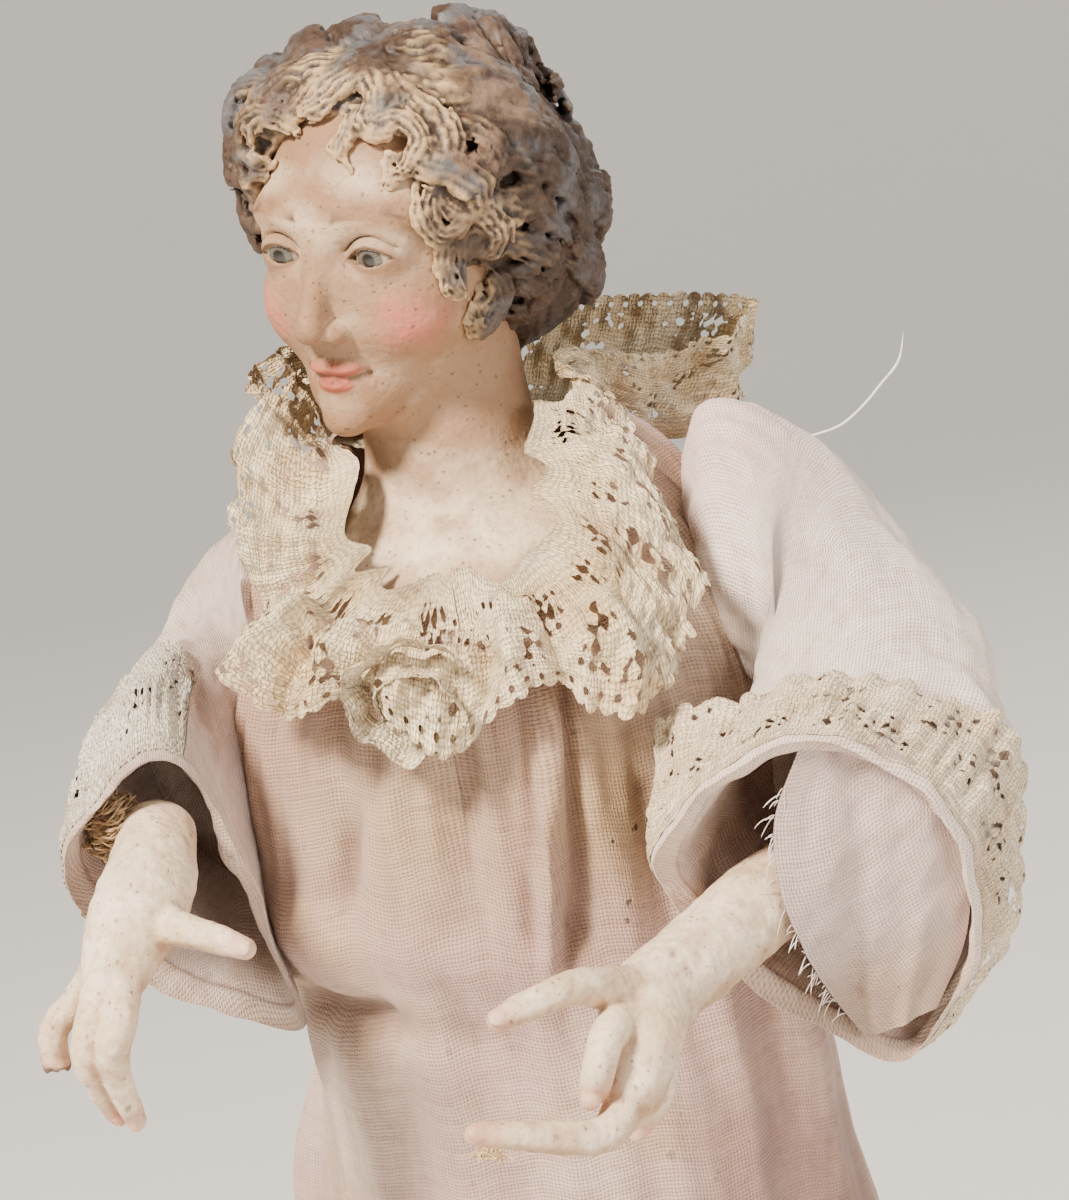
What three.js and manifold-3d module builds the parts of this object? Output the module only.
// A dressed crib figure: terracotta head and bust, carved wooden hands, linen gown with lace, turned plinth.
// Millimetres, +Z up. The origin is the centre of the plinth's underside, and the figure faces -Y.
import * as THREE from "three";
import { mergeVertices } from "three/addons/utils/BufferGeometryUtils.js";
import Module from "manifold-3d";

const wasm = await Module();
wasm.setup();

// Driving sizes
const STATURE = 336; // plinth top to the crown of the hair
const HEAD_HEIGHT = 40; // chin to crown, without the hair
const PLINTH_RADIUS = 62;
const PLINTH_HEIGHT = 12;
const PLINTH_BEAD = 2.4; // radius of the rounded upper edge
const PLINTH_FOOT_STEP = 2; // how far the lower edge stands back
const CLOTH_WALL = 1.4; // sleeve cloth with its lining and turned hem
const LINING_THICKNESS = 1; // the loose flap inside the left sleeve
const LACE_THICKNESS = 1; // gathered lace, with its picots and hollows
const CUFF_LACE_FLARE = 0.9; // how far the free edge of the cuff lace stands off the sleeve
const SHOE_LENGTH = 30;
const SHOE_WIDTH = 10;
const SHOE_HEIGHT = 8;
const SHOE_SPREAD = 12; // middle of each shoe to the middle of the figure
const SHOE_SHOWING = 8; // how far each toe reaches past the hem
const FIT_GAP = 0.3; // between pieces that touch
const CUT_GRAIN = 0.12; // details finer than this are closed up after a cut

// The figure's coordinates below are written for this stature, from the plinth top up
const DRAWN_STATURE = 336;
const scale = STATURE / DRAWN_STATURE;
const at = (x, y, z) => new THREE.Vector3(x * scale, y * scale, PLINTH_HEIGHT + z * scale);
const points = (list) => list.map((p) => at(...p));

// Helpers for numbers
const { sin, cos, abs, max, min, sqrt, sign, PI } = Math;
const TURN = 2 * PI;
const mix = (a, b, t) => a + (b - a) * t;
const smooth = (a, b, x) => THREE.MathUtils.smoothstep(x, a, b);
const bump = (x, centre, width) => Math.exp(-(((x - centre) / width) ** 2));
const degrees = THREE.MathUtils.degToRad;

/** Smooth value of a table of [key, value, ...] rows at a key between the first and the last. */
function fromTable(rows, key, column = 1) {
  const last = rows.length - 1;
  let i = 0;
  while (i < last - 1 && rows[i + 1][0] < key) i += 1;
  const span = rows[i + 1][0] - rows[i][0];
  const t = min(1, max(0, (key - rows[i][0]) / span));
  const slope = (j) => {
    const a = rows[max(0, j - 1)];
    const b = rows[min(last, j + 1)];
    return (b[column] - a[column]) / (b[0] - a[0]);
  };
  const [t2, t3] = [t * t, t * t * t];
  return (
    rows[i][column] * (2 * t3 - 3 * t2 + 1) +
    slope(i) * span * (t3 - 2 * t2 + t) +
    rows[i + 1][column] * (3 * t2 - 2 * t3) +
    slope(i + 1) * span * (t3 - t2)
  );
}

// Helpers for closed skins

/** Signed volume of an indexed skin. */
function volumeOf(skin) {
  const [a, b, c] = [new THREE.Vector3(), new THREE.Vector3(), new THREE.Vector3()];
  const { position } = skin.attributes;
  let total = 0;
  for (let i = 0; i < skin.index.count; i += 3) {
    a.fromBufferAttribute(position, skin.index.getX(i));
    b.fromBufferAttribute(position, skin.index.getX(i + 1));
    c.fromBufferAttribute(position, skin.index.getX(i + 2));
    total += a.dot(b.cross(c)) / 6;
  }
  return total;
}

/** Moves each vertex of a closed grid to place(u, v), and turns its faces outwards. */
function reshaped(grid, place) {
  const { uv, position } = grid.attributes;
  for (let i = 0; i < position.count; i += 1) {
    const p = place(uv.getX(i) % 1, uv.getY(i));
    position.setXYZ(i, p.x, p.y, p.z);
  }
  grid.deleteAttribute("normal");
  grid.deleteAttribute("uv");
  const skin = mergeVertices(grid, 1e-4);
  if (volumeOf(skin) < 0) {
    const faces = skin.index.array;
    for (let i = 0; i < faces.length; i += 3) [faces[i], faces[i + 1]] = [faces[i + 1], faces[i]];
  }
  return skin;
}

/** A closed bag: u runs round it, and v from its first pole (0) to its last (1). */
function bag(around, along, place) {
  const grid = new THREE.SphereGeometry(1, around, along);
  const { uv } = grid.attributes;
  for (let row = 0; row <= along; row += 1)
    for (let column = 0; column <= around; column += 1)
      uv.setXY(row * (around + 1) + column, column / around, row / along);
  return reshaped(grid, place);
}

/** A closed ring: u runs round the ring, and v round its section. */
const ring = (around, across, place) =>
  reshaped(new THREE.TorusGeometry(1, 0.4, across, around), (u, v) => place(u, v % 1));

const solid = (skin) =>
  new wasm.Manifold(
    new wasm.Mesh({
      numProp: 3,
      vertProperties: new Float32Array(skin.attributes.position.array),
      triVerts: new Uint32Array(skin.index.array),
    }),
  );
const union = (list) => list.reduce((a, b) => a.add(b));

/** Back from a cut solid to a geometry: its largest body, with the tiny edges of the cut closed up. */
function geometryOf(cut) {
  const bodies = cut.simplify(CUT_GRAIN).decompose();
  const mesh = bodies.reduce((a, b) => (a.volume() > b.volume() ? a : b)).getMesh();
  const geometry = new THREE.BufferGeometry();
  geometry.setAttribute("position", new THREE.BufferAttribute(mesh.vertProperties, 3));
  geometry.setIndex(new THREE.BufferAttribute(mesh.triVerts, 1));
  return geometry;
}

/** A round limb along a path, with its radii in even steps, rounded at both ends. */
function limb(path, radii, around, along, flat = 1, grow = 0) {
  const longer = path.map((p) => p.clone());
  for (const [end, next] of [[0, 1], [path.length - 1, path.length - 2]])
    longer[end].addScaledVector(path[end].clone().sub(path[next]).normalize(), grow);
  const curve = new THREE.CatmullRomCurve3(longer, false, "centripetal");
  const frames = curve.computeFrenetFrames(along, false);
  const table = radii.map((r, i) => [i / (radii.length - 1), r * scale + grow]);
  const length = curve.getLength();
  return bag(around, along, (u, v) => {
    const i = Math.round(v * along);
    const end = (min(v, 1 - v) * length) / (fromTable(table, v) * 1.1);
    const r = fromTable(table, v) * sqrt(max(0, 1 - max(0, 1 - end) ** 2));
    return curve
      .getPointAt(v)
      .addScaledVector(frames.normals[i], r * cos(TURN * u))
      .addScaledVector(frames.binormals[i], r * flat * sin(TURN * u));
  });
}

/** A column of oval rings with closed ends. Rows are [height, half width, half depth, middle x, middle y]. */
function ovalColumn(rows, around, along, grow, shape = {}) {
  const { folds = () => 1, lift = () => 0, sink = 0 } = shape;
  const [low, high] = [rows[0][0], rows[rows.length - 1][0]];
  return bag(around, along, (u, v) => {
    const row = Math.round(v * along);
    const z = mix(low, high, min(1, max(0, (row - 1) / (along - 2))));
    const a = TURN * u;
    const end = row === 0 || row === along ? 0 : 1;
    const wide = (fromTable(rows, z, 1) * scale * folds(a, z) + grow) * end;
    const deep = (fromTable(rows, z, 2) * scale * folds(a, z) + grow) * end;
    const beyond = grow * mix(-1, 1, (z - low) / (high - low));
    const middle = at(fromTable(rows, z, 3), fromTable(rows, z, 4), z);
    middle.z += beyond + (row === along ? -sink : lift(a, z)) * scale;
    return middle.add(new THREE.Vector3(wide * sin(a), -deep * cos(a), 0));
  });
}

// The head, in fortieths of its own height: eye line at z 0, chin at -20, face towards -y
const HEAD_PARTS = 40;
const HEAD_YAW = -28;
const HEAD_NOD = 4;
const HEAD_TILT = 7;
const headPlace = new THREE.Matrix4()
  .makeTranslation(at(-1.2, -1.8, 314))
  .multiply(new THREE.Matrix4().makeRotationZ(degrees(HEAD_YAW)))
  .multiply(new THREE.Matrix4().makeRotationY(degrees(HEAD_TILT)))
  .multiply(new THREE.Matrix4().makeRotationX(degrees(HEAD_NOD)))
  .multiply(new THREE.Matrix4().makeScale(...Array(3).fill((HEAD_HEIGHT * scale) / HEAD_PARTS)));

// Clay: each lump gives a distance, and lumps flow into each other over a blend width
const lump = (centre, radii) => (p) => {
  const q = p.toArray().map((x, i) => (x - centre[i]) / radii[i]);
  const k0 = Math.hypot(...q);
  const k1 = Math.hypot(...q.map((x, i) => x / radii[i]));
  return k1 < 1e-9 ? -min(...radii) : (k0 * (k0 - 1)) / k1;
};
const roll = (from, to, r0, r1) => {
  const a = new THREE.Vector3(...from);
  const ab = new THREE.Vector3(...to).sub(a);
  return (p) => {
    const ap = p.clone().sub(a);
    const t = min(1, max(0, ap.dot(ab) / ab.lengthSq()));
    return ap.addScaledVector(ab, -t).length() - mix(r0, r1, t);
  };
};
const both = (make) => [make(1), make(-1)];
const flowIn = (a, b, k) => min(a, b) - max(k - abs(a - b), 0) ** 2 / (4 * k);
const pressOut = (a, b, k) => -flowIn(-a, b, k);

const SKULL = lump([0, 2.5, 4.6], [14.2, 17, 15.2]);
const FACE_MASSES = [
  [lump([0, -3.5, -5], [11.6, 12.8, 14.6]), 5],
  [lump([0, -9.6, -15.6], [6, 5.8, 4.4]), 3.5],
  ...both((s) => [lump([6.4 * s, -9.4, -6.4], [5, 4.8, 5]), 3]),
  ...both((s) => [lump([5.6 * s, -13.3, 3.6], [4.4, 1.8, 1.3]), 2]),
];
const EYE_SOCKETS = both((s) => [lump([5.9 * s, -16.2, 0.3], [3.5, 2.9, 2]), 1.6]);
const FACE_FEATURES = [
  [roll([0, -14.6, 1.4], [0, -18.6, -7.2], 1.3, 1.6), 1],
  ...both((s) => [lump([2 * s, -16.4, -7.9], [1.3, 1.7, 1.2]), 0.6]),
  ...both((s) => [lump([5.9 * s, -12.4, 0], [3.2, 2.9, 2.2]), 0.3]),
  [lump([0, -15.6, -11.9], [3.4, 1.5, 0.9]), 0.6],
  [lump([0, -15.3, -14], [2.8, 1.5, 1.05]), 0.6],
  [lump([0, -14.2, -18.2], [2.4, 1.8, 1.8]), 1.5],
];

/** Distance from a point of the head's own frame to its clay, without the hair. */
function headClay(p) {
  let d = SKULL(p);
  for (const [shape, k] of FACE_MASSES) d = flowIn(d, shape(p), k);
  for (const [shape, k] of EYE_SOCKETS) d = pressOut(d, shape(p), k);
  for (const [shape, k] of FACE_FEATURES) d = flowIn(d, shape(p), k);
  return d;
}

/** The skin of a clay shape, found along rays from a point inside it, and placed on the figure. */
function modelled(clay, centre, around, along, reach, crowding = 0) {
  const inside = new THREE.Vector3(...centre);
  return bag(around, along, (u, v) => {
    const a = PI * v;
    // the columns crowd round the face, where the features are
    const b = TURN * u - crowding * sin(TURN * u);
    const ray = new THREE.Vector3(sin(a) * sin(b), -sin(a) * cos(b), cos(a));
    let t = reach;
    for (let step = 0; step < 60; step += 1) t -= 0.8 * clay(inside.clone().addScaledVector(ray, t));
    return inside.clone().addScaledVector(ray, t).applyMatrix4(headPlace);
  });
}

// The hair, in the head's own frame
const HAIR_CAP = lump([-0.6, 3, 4], [17.8, 18.4, 17]);
const HAIR_CREST = lump([-4.6, -0.6, 9.6], [14.2, 12.4, 13]);
const HAIR_NAPE = lump([2.4, 11.4, -5], [13.8, 13.8, 12.4]);
const FACE_OPENING = lump([0, -12.4, -2.4], [12, 12.8, 16.4]);
const LEFT_HAIRLINE = [
  [4.2, -9.8, 16.6], [7.4, -9.8, 15.2], [9.8, -10.2, 12.4], [11.8, -10, 9],
  [13.4, -9, 5], [14.2, -7.4, 0.8], [13.8, -5.4, -3.6], [12.4, -3.8, -8],
];
const RIGHT_HAIRLINE = [
  [0.4, -10.6, 17.6], [-3.6, -11, 17], [-8, -10.6, 15.4],
  [-12, -9.8, 12], [-14.4, -9.2, 7.6], [-15, -8.4, 2], [-14.2, -6.8, -3.4],
];
const NAPE_LINE = [[12.8, 2, -11.6], [13.4, 8.4, -14.4], [9.6, 15, -16.4], [1, 18, -16.6]];
const SWEPT_ROLLS = [
  [[8.6, -6.4, 15.6], [13.6, -0.6, 13.4], [15.8, 6.4, 10.8], [14, 14, 7], [9, 19, 4]],
  [[-3, -7, 16.8], [-3.4, 1, 19], [-1, 9, 17.8], [3, 14, 14]],
  [[-9.4, -7.4, 14.4], [-14.4, 1, 12.6], [-13.4, 11, 9.6], [-5, 18.6, 7.4]],
];
const KNOT = { middle: [6.2, 16, 12.4], radius: 6.8, thickness: 3.7 };

const lock = (path, thick, grow, around = 5, along = 4) =>
  solid(
    limb(
      path.map((p) => new THREE.Vector3(...p).applyMatrix4(headPlace)),
      [0.6, 1, 0.9, 0.5].map((share) => share * thick),
      around,
      along,
      0.85,
      grow,
    ),
  );

/** Short locks that come forward over a hairline and hook round, every other one the other way. */
function hookedCurls(hairline, reach, thick, grow) {
  return hairline.map((root, i) => {
    const out = new THREE.Vector3(...root).sub(new THREE.Vector3(0, 2, 2)).normalize();
    const next = new THREE.Vector3(...(hairline[i + 1] ?? hairline[i - 1]));
    const along = next.sub(new THREE.Vector3(...root)).normalize();
    if (i === hairline.length - 1) along.negate();
    const hook = i % 2 ? 1 : -0.7;
    const place = (back, outwards, sideways) =>
      new THREE.Vector3(...root)
        .add(new THREE.Vector3(0, back * reach, 0.25 * back * reach))
        .addScaledVector(out, outwards)
        .addScaledVector(along, sideways * hook)
        .toArray();
    const hooked = [place(1.3, -0.6, -0.6), place(0.3, 1.7, 0), place(-0.5, 1.1, 1.4), place(-0.2, -0.4, 3)];
    return lock(hooked, thick, grow);
  });
}

/** The coiled knot high on the back of the head. */
function hairKnot(grow) {
  const { middle, radius, thickness } = KNOT;
  const coil = (share, raised, start, thick) => {
    const path = Array.from({ length: 6 }, (_, i) => {
      const a = start + i * 1.05;
      const r = radius * share;
      return [
        middle[0] + r * cos(a),
        middle[1] - 0.6 * r * sin(a) + 0.75 * raised,
        middle[2] + 0.8 * r * sin(a) + 0.6 * raised,
      ];
    });
    return lock(path, thick, grow, 6, 9);
  };
  return [coil(1, 0, 0.5, thickness), coil(0.36, 2.4, 2.6, 0.85 * thickness)];
}

/** Head, hair and neck in one, grown for the space round them. */
function headAndHair(grow) {
  const mass = (p) => flowIn(flowIn(HAIR_CAP(p), HAIR_CREST(p), 3), HAIR_NAPE(p), 5);
  const shell = (p) => pressOut(mass(p), FACE_OPENING(p), 1.2) - grow;
  return union([
    solid(modelled((p) => headClay(p) - grow, [0, -2, -2], 34, 26, 30, 0.5)),
    solid(modelled(shell, [0.4, 9, 4], 20, 12, 42)),
    ...hookedCurls(LEFT_HAIRLINE, 3.4, 2.5, grow),
    ...hookedCurls(RIGHT_HAIRLINE, 3.2, 2.4, grow),
    ...hookedCurls(NAPE_LINE, -2.2, 2.3, grow),
    ...SWEPT_ROLLS.map((path) => lock(path, 3.1, grow, 6, 6)),
    ...hairKnot(grow),
    bust(grow),
  ]);
}

// Neck and bust
const BUST_ROWS = [
  [268, 23.6, 15.8, 0, -2.2],
  [271.6, 24.8, 16.6, 0, -2.4],
  [276, 22.4, 16.4, 0, -2.4],
  [281, 15.6, 12.8, 0, -1.6],
  [286, 11, 10.2, -0.2, -0.6],
  [292, 9.5, 9.6, -0.4, 0],
  [304, 9.2, 9.4, -0.6, 1.2],
];
const bust = (grow) => solid(ovalColumn(BUST_ROWS, 16, 8, grow));

// The gown
const HEM_FRONT = 50;
const GOWN_ROWS = [
  [0, 56, HEM_FRONT, 0, 0],
  [40, 52.5, 47, 0, 0],
  [95, 45, 41, 0.4, 0.5],
  [145, 38.5, 34.5, 1, 0.6],
  [180, 33, 28.5, 1.4, 0.2],
  [200, 30.2, 24.2, 1.3, -0.4],
  [214, 29.6, 22.4, 1.4, -1],
  [232, 29.8, 21.6, 0.2, -1.8],
  [250, 29.9, 21.4, -0.5, -2.4],
  [262, 28.8, 20.6, -0.4, -2.6],
  [268, 26.6, 19.4, 0, -2.4],
  [273, 23.4, 17.9, 0, -2],
  [276.6, 18, 17, 0, -1.6],
  [279, 11.4, 16.6, 0, -1.4],
];
const NECKLINE_TOP = GOWN_ROWS[GOWN_ROWS.length - 1][0];
const NECKLINE_DIP = 2; // the low front of the neckline
const NECKLINE_RISE = 11.5; // its sides and its back, where it meets the neck
const LEFT_SHOULDER_RISE = 2; // the left shoulder is pushed up by its full sleeve
const NECKLINE_SINK = 6; // how far the inside of the neckline slopes down to the bust
const SKIRT_FOLDS = 11;
const BODICE_FOLDS = 5;
const BACK_FOLD_ANGLE = 4.25; // the deep fold that stands out behind the right hip

/** Drapery of the gown as a factor on its radius. */
function gownFolds(a, z) {
  const front = bump(a > PI ? a - TURN : a, 0, 1.4);
  const skirt = 0.075 * (1 - smooth(60, 205, z)) + 0.012 * (1 - smooth(180, 250, z));
  const bodice = 0.03 * smooth(225, 262, z) * (1 - smooth(268, 278, z));
  const standing = mix(0.12, 0.44, smooth(10, 170, z)) * (1 - smooth(186, 224, z));
  return (
    1 +
    skirt * sin(SKIRT_FOLDS * a + 1.3 * sin(2 * a) + 0.006 * z) +
    bodice * cos(BODICE_FOLDS * a - 0.6) * front +
    standing * bump(a, BACK_FOLD_ANGLE, 0.24)
  );
}

/** The gown, or with a growth the space that it takes up, its neckline filled. */
function gownSolid(grow) {
  const rise = (a) =>
    mix(-NECKLINE_DIP, NECKLINE_RISE, smooth(0.85, 1.8, min(a, TURN - a))) +
    LEFT_SHOULDER_RISE * bump(a, PI / 2, 0.6);
  const lift = (a, z) => rise(a) * smooth(244, NECKLINE_TOP, z);
  const shape = { folds: gownFolds, lift, sink: grow > 0 ? -NECKLINE_RISE : NECKLINE_SINK };
  return solid(ovalColumn(GOWN_ROWS, 40, 15, grow, shape).translate(0, 0, FIT_GAP));
}

// Sleeves: radii of the cloth tube at even steps along its path, and the outline of its open end.
// The rim starts on the outer side and runs over the top. The lace runs the same way between two angles,
// and its free edge lies at a share of the sleeve's path.
const LEFT_SLEEVE = {
  side: 1,
  path: [
    [20, 1, 270], [27, 1, 270.4], [36.4, -0.5, 265.4], [40.6, -6, 255.6],
    [40, -15, 248], [37.6, -23, 243.6], [34.6, -31, 240.4],
  ],
  heading: [0, 0, -15, -50, -82, -100, -110],
  outer: [0, 11, 14.4, 14.8, 15, 15, 14],
  inner: [0, 11, 13, 13.5, 14, 15, 15.6],
  upper: [0, 18, 19.4, 18.4, 15, 15.2, 16],
  lower: [0, 12, 17, 21, 22, 22, 21],
  rim: [
    [48.9, -27, 239.8], [47, -30, 247.6], [42.8, -32, 253.9], [36.3, -34, 257.8], [30.2, -35, 257.4],
    [23.6, -35.5, 254.2], [19.5, -34.5, 249.7], [17.9, -32.5, 245.4], [19.8, -29.5, 239.2],
    [25.9, -28, 231.1], [32.3, -26.5, 224.7], [39.5, -24, 219.6], [44.5, -23.6, 224.7], [48.7, -25, 232.5],
  ],
  lace: { start: 0.845, from: -80, to: 225 },
};
const RIGHT_SLEEVE = {
  side: -1,
  path: [
    [-19, 1, 270.5], [-24.5, 0.6, 271], [-29.6, -1, 267.4], [-32.6, -5, 261.5],
    [-34.2, -11.6, 257.6], [-34.6, -19, 253.6], [-34.4, -26, 248.6],
  ],
  heading: [0, 0, -30, -60, -80, -88, -92],
  outer: [0, 9, 9.6, 9, 8, 7.4, 9.1],
  inner: [0, 9, 9, 7.6, 6, 6, 7.4],
  upper: [0, 12, 12.4, 12.6, 14.4, 17, 16.5],
  lower: [0, 12, 14, 16, 18, 19, 19],
  rim: [
    [-43.5, -32, 253.8], [-42.8, -33, 257.9], [-40.4, -33, 260.3], [-36.8, -32, 263.3], [-33.2, -30.5, 265.1],
    [-30.6, -29, 263.9], [-28.2, -26, 258.6], [-27, -23, 251.3], [-27, -19, 241.9], [-26.4, -17, 234.1],
    [-26.3, -16, 229.6], [-31.1, -19, 231.7], [-35.4, -22, 235], [-39.5, -25, 239.4], [-42.3, -30, 249.6],
  ],
  lace: { start: 0.8, from: -60, to: 130 },
};
const POCKET_DEPTH = 0.56; // where the open part of the sleeve ends, as a share of its path
const SLEEVE_AROUND = 22;

/** The surface of a sleeve as a function of its share t, its angle a and an offset outwards. */
function sleeveSurface({ side, path, rim, lace: trim, heading, ...radii }) {
  const steps = (list) => list.map((value, i) => [i / (list.length - 1), value]);
  const middle = new THREE.CatmullRomCurve3(points(path), false, "centripetal");
  const mouth = new THREE.CatmullRomCurve3(points(rim), true, "centripetal");
  const tables = Object.fromEntries(Object.entries(radii).map(([name, list]) => [name, steps(list)]));
  const headings = steps(heading);
  const tube = (t, a) => {
    const turned = degrees(fromTable(headings, t));
    const across = new THREE.Vector3(-sin(turned) * side, cos(turned), 0);
    const wide = fromTable(cos(a) > 0 ? tables.outer : tables.inner, t) * cos(a) * scale;
    const tall = fromTable(sin(a) > 0 ? tables.upper : tables.lower, t) * sin(a) * scale;
    return middle.getPoint(t).addScaledVector(across, wide).add(new THREE.Vector3(0, 0, tall));
  };
  const surface = (t, a, offset) => {
    const share = smooth(0.4, 1, t);
    const p = tube(t, a).addScaledVector(mouth.getPoint(a / TURN).sub(tube(1, a)), share);
    const out = p.clone().sub(middle.getPoint(t));
    return p.addScaledVector(out.normalize(), t === 0 ? 0 : offset);
  };
  return { surface, middle, trim };
}

/** A sleeve closed at the shoulder and hollow from its rim back to the pocket's end. */
function sleeveSolid({ surface, middle }, grow) {
  const OUTSIDE = 10; // rows outside
  const INSIDE = 5; // rows inside
  const skin = bag(SLEEVE_AROUND, OUTSIDE + INSIDE, (u, v) => {
    const row = Math.round(v * (OUTSIDE + INSIDE));
    if (row <= OUTSIDE) return surface(row / OUTSIDE, TURN * u, FIT_GAP + grow);
    const t = mix(1, POCKET_DEPTH, min(1, (row - OUTSIDE - 1) / (INSIDE - 2)));
    if (row === OUTSIDE + INSIDE) return middle.getPoint(t);
    return surface(t, TURN * u, -CLOTH_WALL - grow);
  });
  return solid(skin);
}

/** The lace sewn to a cuff, turned back over the outside of the sleeve. */
function cuffLaceSolid({ surface, trim }) {
  const [ROUND, LONG] = [6, 22];
  const skin = bag(ROUND, LONG, (u, v) => {
    const w = u < 0.5 ? 2 * u : 2 - 2 * u;
    const face = u === 0 || u === 0.5 ? 0.5 : u < 0.5 ? 1 : 0;
    const width = sqrt(min(1, 8 * v * (1 - v) + 0.1 * sin(PI * v)));
    const a = degrees(mix(trim.from, trim.to, v));
    const t = mix(0.985, trim.start, v === 0 || v === 1 ? 0.5 : 0.5 + (w - 0.5) * width);
    const stand = CUFF_LACE_FLARE * w * (1 + 0.5 * sin(5 * a));
    const thick = v === 0 || v === 1 ? 0.5 : face;
    return surface(t, a, 2 * FIT_GAP + (v === 0 || v === 1 ? 0 : stand) + LACE_THICKNESS * thick);
  });
  return solid(skin);
}

// The loose lining in the left sleeve: its frayed edge and the edge that is sewn in, from the top down
const LINING_FREE = [
  [34, -31.4, 253.6], [30.2, -32, 249.4], [30.6, -32, 243.4],
  [32.4, -31.4, 238], [32.9, -28.6, 230.8], [34.6, -26.6, 226.6],
];
const LINING_SEWN = [
  [34, -31.4, 253.6], [43.6, -30, 250.6], [47.6, -27.6, 241.6],
  [47.4, -25.4, 233.4], [43, -24, 226.6], [34.6, -26.6, 226.6],
];

function liningSolid() {
  const [free, sewn] = [LINING_FREE, LINING_SEWN].map(
    (list) => new THREE.CatmullRomCurve3(points(list), false, "centripetal"),
  );
  const AROUND = 12;
  const skin = bag(AROUND, 8, (u, v) => {
    const w = u < 0.5 ? 2 * u : 2 - 2 * u;
    const face = u === 0 || u === 0.5 ? 0 : u < 0.5 ? -0.5 : 0.5;
    const swell = 1.4 * sin(PI * w) * sin(PI * v) * scale;
    const offset = swell + face * LINING_THICKNESS * min(1, 6 * v * (1 - v));
    return free.getPoint(v).lerp(sewn.getPoint(v), w).add(new THREE.Vector3(0, offset, 0));
  });
  return solid(skin);
}

// The collar: [where the lace is sewn on, its middle, its free edge], going round from the front
const COLLAR = [
  [[0, -19.8, 277], [0.5, -27.6, 271], [-1.2, -30.5, 261.1]],
  [[6, -19.8, 276.6], [7, -27.6, 273], [7.7, -29, 267.4]],
  [[10.8, -18.6, 278], [17, -25.6, 272.4], [16, -27.6, 262.4]],
  [[11.6, -15.4, 283.4], [19.4, -20, 279], [24.9, -22, 266.9]],
  [[11, -11.6, 288.4], [18.4, -14, 286], [24.5, -17, 274]],
  [[10.4, -8, 292.6], [16, -9, 293], [21.2, -7.6, 288.9]],
  [[11.5, -1, 292], [15.4, -2, 295], [13, -5, 298]],
  [[18, 6.4, 286.4], [21.4, 8.4, 290.4], [23.8, 9, 294.4]],
  [[29, 17, 284.4], [33, 19.6, 290.4], [35.4, 20.8, 296.4]],
  [[20, 20, 286.4], [24.6, 24.4, 291.6], [27.6, 26, 298.1]],
  [[8, 17, 289], [10, 22.4, 294], [12, 25.4, 300]],
  [[-3, 15.4, 290], [-4, 20.4, 295.6], [-4, 22, 301]],
  [[-11.6, 10, 290], [-14.6, 14, 296], [-15.6, 15, 301.6]],
  [[-13.4, 1, 290.5], [-17, 0, 297], [-18.6, 0, 302]],
  [[-11.4, -8, 291], [-17.4, -8.6, 294.4], [-20.6, -8.6, 299]],
  [[-10.8, -14.5, 286.4], [-18, -14.6, 288], [-21.7, -13.4, 292.6]],
  [[-10.8, -18, 281], [-19, -21, 279], [-22.8, -20.4, 278]],
  [[-9, -18.8, 278.4], [-17, -25.6, 274], [-21.3, -27, 266.8]],
  [[-5, -19.8, 277], [-9.6, -28, 273.6], [-10.7, -30.4, 268.8]],
];
const COLLAR_RUFFLES = 9;
const COLLAR_RUFFLE_DEPTH = 0.9;

function collarSolid() {
  const [sewn, middle, free] = [0, 1, 2].map(
    (edge) => new THREE.CatmullRomCurve3(points(COLLAR.map((key) => key[edge])), true, "centripetal"),
  );
  const surface = (u, w) =>
    sewn
      .getPoint((u + 1) % 1)
      .multiplyScalar(2 * (w - 0.5) * (w - 1))
      .addScaledVector(middle.getPoint((u + 1) % 1), -4 * w * (w - 1))
      .addScaledVector(free.getPoint((u + 1) % 1), 2 * w * (w - 0.5));
  const STEP = 0.004;
  const skin = ring(50, 4, (u, v) => {
    const w = v < 0.5 ? 2 * v : 2 - 2 * v;
    const face = v === 0 || v === 0.5 ? 0 : v < 0.5 ? 0.5 : -0.5;
    const along = surface(u + STEP, w).sub(surface(u - STEP, w));
    const across = surface(u, w + STEP).sub(surface(u, w - STEP));
    const ruffle = COLLAR_RUFFLE_DEPTH * w * sin(COLLAR_RUFFLES * TURN * u) * scale;
    return surface(u, w).addScaledVector(along.cross(across).normalize(), face * LACE_THICKNESS + ruffle);
  });
  return solid(skin);
}

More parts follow.
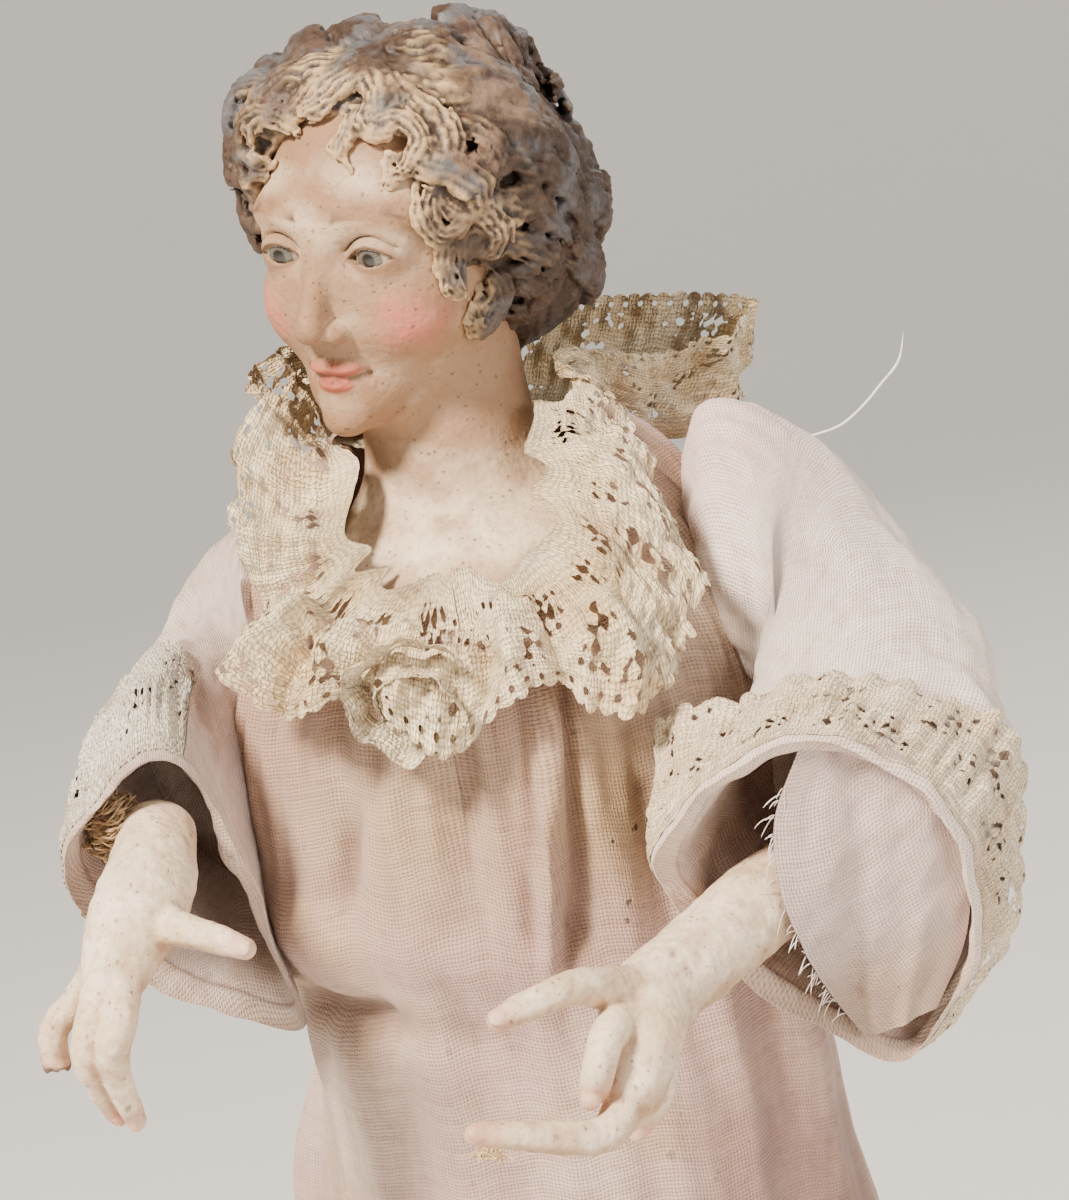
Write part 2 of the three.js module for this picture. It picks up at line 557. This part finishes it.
// Arms and hands, carved in wood, from inside the sleeve to the finger tips: each limb's path and its radii
const LEFT_HAND = [
  {
    path: [
      [40, -7, 244.4], [37.4, -15, 242.8], [32.6, -23.6, 242], [27, -31.4, 241.2],
      [21.8, -38.4, 239.6], [16.5, -46, 238.1], [14.8, -50.4, 236.4],
    ],
    radii: [4.2, 4.6, 4.7, 4.7, 4.5, 4.3, 3.6],
    sides: 9,
    rings: 9,
  },
  {
    path: [[16.5, -46, 237.4], [15.4, -51, 235.6], [14.6, -54, 232.6]],
    radii: [4, 4.3, 3.2],
    sides: 8,
    flat: 0.8,
  },
  {
    path: [[15.4, -47.6, 239.6], [10.4, -55, 243.6], [6.6, -58, 243.6], [3.7, -60, 243.1]],
    radii: [2.6, 1.7, 1.5, 1.2],
  },
  {
    path: [[15, -49, 238.6], [13, -56, 238.3], [11.9, -57.5, 236.1], [11, -57, 233.8]],
    radii: [2.2, 1.8, 1.7, 1.5],
  },
  {
    path: [[15, -50.6, 235], [13.6, -55, 231.6], [11.5, -58, 229.5], [7.6, -61, 231], [0.5, -65, 234]],
    radii: [2.2, 2, 1.8, 1.6, 1.1],
    rings: 8,
  },
  { path: [[16, -48.6, 234.8], [15.2, -53, 230.8], [12.6, -54.6, 229]], radii: [2.1, 1.8, 1.4] },
  { path: [[17, -46.4, 234.4], [16.2, -50, 229.7], [13.8, -49.4, 226.3]], radii: [2, 1.6, 1.2] },
];
const RIGHT_HAND = [
  {
    path: [
      [-34, -5, 259.4], [-34.4, -14, 258.4], [-34.4, -23, 257.4],
      [-34.4, -31, 255.4], [-34.3, -36, 253.3], [-35.2, -40, 251.5],
    ],
    radii: [4, 4.2, 4.2, 4.4, 4.8, 4.4],
    sides: 9,
    rings: 9,
  },
  {
    path: [[-35, -37.6, 252.4], [-36.4, -43, 249.2], [-37.3, -46, 246.6]],
    radii: [4.6, 4.2, 3],
    sides: 8,
    flat: 0.8,
  },
  {
    path: [[-34.4, -39.4, 251.4], [-28.6, -44, 250.7], [-25.1, -46.5, 250.3], [-22.3, -48, 249.6]],
    radii: [2.6, 1.7, 1.5, 1.1],
  },
  {
    path: [
      [-35.8, -43.4, 248.8], [-36, -50, 244.5], [-37.1, -50.5, 241.7],
      [-37.6, -49, 237.9], [-37.4, -46.5, 232.6],
    ],
    radii: [2.2, 1.9, 1.8, 1.5, 1.1],
    rings: 8,
  },
  {
    path: [
      [-37.6, -43, 248.4], [-38.8, -49, 244.5], [-39.8, -49.4, 241.4],
      [-40, -47.8, 237.2], [-39.6, -45.6, 233.2],
    ],
    radii: [2.2, 1.9, 1.8, 1.5, 1.1],
    rings: 8,
  },
  {
    path: [[-37.6, -42, 247.8], [-40, -45.4, 242.8], [-40.4, -44.6, 239], [-39.4, -42.8, 235.4]],
    radii: [2, 1.7, 1.5, 1.1],
  },
  // the little finger is broken off blunt
  {
    path: [[-38, -41.4, 249], [-41.2, -46, 245.2], [-43, -47.4, 243.4], [-43.2, -47.2, 240.2]],
    radii: [2, 1.7, 1.6, 1.6],
  },
];
const handSolid = (limbs, grow) =>
  union(
    limbs.map(({ path, radii, sides = 5, rings = 5, flat = 1 }) =>
      solid(limb(points(path), radii, sides, rings, flat, grow)),
    ),
  );

/** Tow wrapped round the wire above the right wrist, frayed into a tuft. */
const towSolid = () =>
  solid(
    bag(10, 6, (u, v) => {
      const r = scale * (3.3 + 0.5 * sin(3 * TURN * u + 5 * v)) * sin(PI * v);
      const p = at(-39.4, -27.4, 258.6);
      return p.add(new THREE.Vector3(r * cos(TURN * u), 1.3 * r * sin(TURN * u), 3 * scale * cos(PI * v)));
    }),
  );

/** A carved slipper with a round toe and a flat sole. */
function shoeSolid(side, grow) {
  const round = (x, power) => sign(x) * abs(x) ** power;
  const SOLE = 0.35; // share of the round section that lies below its widest level
  const rise = SHOE_HEIGHT / (1 + SOLE);
  const heel = -HEM_FRONT * scale - SHOE_SHOWING + SHOE_LENGTH / 2;
  const skin = bag(10, 6, (u, v) => {
    const lengthways = -cos(PI * v) * (SHOE_LENGTH / 2 + grow);
    const narrow = 1 - 0.25 * smooth(0, SHOE_LENGTH / 2, lengthways);
    const across = round(sin(PI * v), 0.7) * cos(TURN * u) * (SHOE_WIDTH / 2 + grow) * narrow;
    const height = max(-SOLE, round(sin(PI * v), 0.6) * sin(TURN * u)) * (rise + grow);
    return new THREE.Vector3(
      side * SHOE_SPREAD + across,
      heel + lengthways,
      PLINTH_HEIGHT + FIT_GAP + rise * SOLE + height,
    );
  });
  return solid(skin);
}

function plinthGeometry() {
  const foot = PLINTH_RADIUS - PLINTH_FOOT_STEP;
  const profile = new THREE.Path();
  profile.moveTo(0, 0);
  profile.lineTo(foot, 0);
  profile.lineTo(foot, PLINTH_FOOT_STEP);
  profile.lineTo(PLINTH_RADIUS, 2 * PLINTH_FOOT_STEP);
  profile.lineTo(PLINTH_RADIUS, PLINTH_HEIGHT - PLINTH_BEAD);
  profile.absarc(PLINTH_RADIUS - PLINTH_BEAD, PLINTH_HEIGHT - PLINTH_BEAD, PLINTH_BEAD, 0, PI / 2);
  profile.lineTo(0, PLINTH_HEIGHT);
  return new THREE.LatheGeometry(profile.getPoints(2), 28).rotateX(PI / 2);
}

// Materials
const material = (color, roughness) => new THREE.MeshStandardMaterial({ color, roughness, metalness: 0 });
const paintedClay = material(0xd9c1a4, 0.55);
const paintedWood = material(0xe2cfb4, 0.5);
const linen = material(0xd8bcb0, 0.9);
const lace = material(0xdccba6, 0.92);
const tow = material(0x8f7350, 0.95);
const stainedWood = material(0x4a3020, 0.6);
const leather = material(0x6b3b2c, 0.5);

// The pieces, each cut so that it keeps clear of the ones it touches
const [head, headSpace] = [0, FIT_GAP].map(headAndHair);
const [bustSpace, gownSpace] = [bust(FIT_GAP), gownSolid(FIT_GAP)];
const [leftHand, rightHand] = [LEFT_HAND, RIGHT_HAND].map((limbs) => handSolid(limbs, 0));
const [leftHandSpace, rightHandSpace] = [LEFT_HAND, RIGHT_HAND].map((limbs) => handSolid(limbs, FIT_GAP));
const [leftCloth, rightCloth] = [LEFT_SLEEVE, RIGHT_SLEEVE].map(sleeveSurface);
const leftSleeveSpace = sleeveSolid(leftCloth, FIT_GAP);
const rightSleeveSpace = sleeveSolid(rightCloth, FIT_GAP);
const collarSpace = union([gownSpace, headSpace, leftSleeveSpace, rightSleeveSpace]);
const shoeSpaces = union(both((side) => shoeSolid(side, FIT_GAP)));

const figure = new THREE.Group();
function addPiece(name, geometry, finish) {
  const mesh = new THREE.Mesh(geometry, finish);
  mesh.name = name;
  figure.add(mesh);
}
addPiece("plinth", plinthGeometry(), stainedWood);
addPiece("left_shoe", geometryOf(shoeSolid(1, 0)), leather);
addPiece("right_shoe", geometryOf(shoeSolid(-1, 0)), leather);
addPiece("gown", geometryOf(gownSolid(0).subtract(bustSpace).subtract(shoeSpaces)), linen);
addPiece("head_and_bust", geometryOf(head), paintedClay);
addPiece("left_hand", geometryOf(leftHand), paintedWood);
addPiece("right_hand", geometryOf(rightHand), paintedWood);
for (const [side, cloth, handSpace, sleeveSpace] of [
  ["left", leftCloth, leftHandSpace, leftSleeveSpace],
  ["right", rightCloth, rightHandSpace, rightSleeveSpace],
]) {
  const sleeve = sleeveSolid(cloth, 0).subtract(gownSpace).subtract(bustSpace).subtract(handSpace);
  const cuffLace = cuffLaceSolid(cloth).subtract(gownSpace).subtract(sleeveSpace);
  addPiece(`${side}_sleeve`, geometryOf(sleeve), linen);
  addPiece(`${side}_cuff_lace`, geometryOf(cuffLace), lace);
}
const lining = liningSolid().subtract(leftSleeveSpace).subtract(leftHandSpace);
addPiece("left_sleeve_lining", geometryOf(lining), linen);
addPiece("wrist_tow", geometryOf(towSolid().subtract(rightHandSpace).subtract(rightSleeveSpace)), tow);
addPiece("lace_collar", geometryOf(collarSolid().subtract(collarSpace)), lace);

export default figure;
